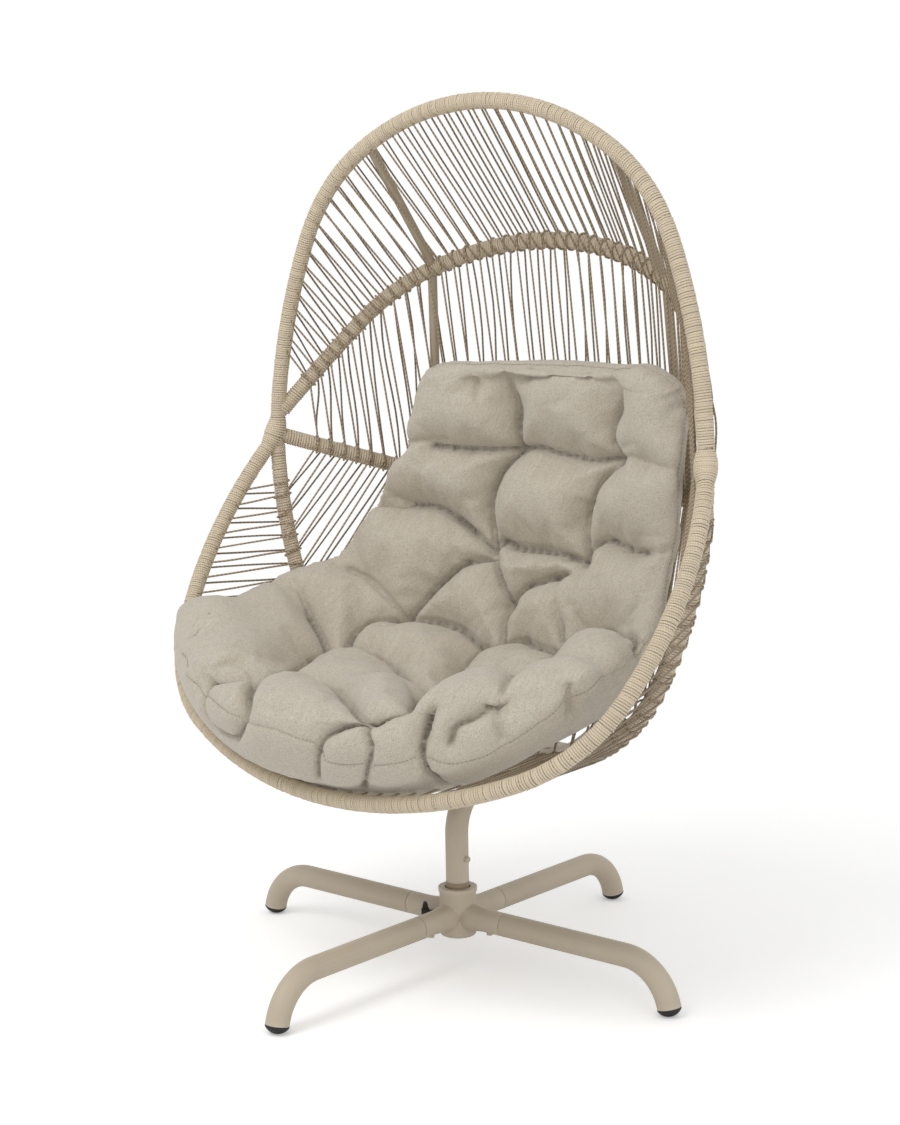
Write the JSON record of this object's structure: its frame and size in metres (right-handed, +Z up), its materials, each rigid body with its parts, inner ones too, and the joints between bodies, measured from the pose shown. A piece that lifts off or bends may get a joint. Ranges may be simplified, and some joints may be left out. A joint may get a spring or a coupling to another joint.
{
  "type": "swivel pod chair",
  "caption": "Egg-shaped corded lounge chair with a tufted cushion, on a cranked post that swivels in a cross base with bent tube legs.",
  "frame": {"origin": "on the floor under the swivel axis", "axes": "+Z up along the swivel axis, -Y towards the front of the chair, +X to the right as seen facing it"},
  "size_m": [1.0046, 0.8906, 1.4151],
  "materials": {
    "taupe_coat": "powder coated, satin",
    "black_plastic": "moulded, matte",
    "bush_plastic": "moulded, satin",
    "dark_steel": "blackened",
    "plain_steel": "turned",
    "light_cord": "twisted cord wound turn by turn",
    "dark_cord": "twisted cord",
    "linen": "heathered linen weave"
  },
  "bodies": {
    "base": {"hub": "taupe_coat", "leg_front": "taupe_coat", "leg_right": "taupe_coat", "leg_rear": "taupe_coat", "leg_left": "taupe_coat", "foot_plug_front": "black_plastic", "foot_plug_right": "black_plastic", "foot_plug_rear": "black_plastic", "foot_plug_left": "black_plastic", "leg_bolts": "dark_steel", "upper_bush": "bush_plastic", "lower_bush": "bush_plastic"},
    "lock": {"lock_knob": "black_plastic"},
    "seat": {"spindle": "plain_steel", "thrust_washer": "plain_steel", "spindle_bolt": "plain_steel", "post": "taupe_coat", "post_cap": "black_plastic", "post_screw": "dark_steel", "arch_tube": "taupe_coat", "arch_wrap": "light_cord", "rim_tube": "taupe_coat", "rim_wrap": "light_cord", "upper_hoop_tube": "taupe_coat", "upper_hoop_wrap": "dark_cord", "lower_hoop_tube": "taupe_coat", "lower_hoop_wrap": "dark_cord", "seat_hoop_tube": "taupe_coat", "seat_hoop_wrap": "dark_cord", "crown_stay_left": "taupe_coat", "back_stay_left": "taupe_coat", "seat_rail_left": "taupe_coat", "crown_stay_right": "taupe_coat", "back_stay_right": "taupe_coat", "seat_rail_right": "taupe_coat", "mount_bracket_front": "taupe_coat", "mount_bracket_rear": "taupe_coat", "mount_bolts": "dark_steel", "crown_web": "dark_cord", "back_web": "dark_cord", "lumbar_web": "dark_cord", "seat_web": "dark_cord", "cushion": "linen"}
  },
  "joints": [
    {"name": "seat_swivel", "type": "hinge", "parent": "base", "child": "seat", "pos_m": [0, 0, 0.13], "axis": [0, 0, 1], "continuous": true},
    {"name": "lock_knob_turn", "type": "hinge", "parent": "base", "child": "lock", "pos_m": [0, 0, 0.085], "axis": [-0.7071, -0.7071, 0], "range_deg": [-180, 180]}
  ]
}
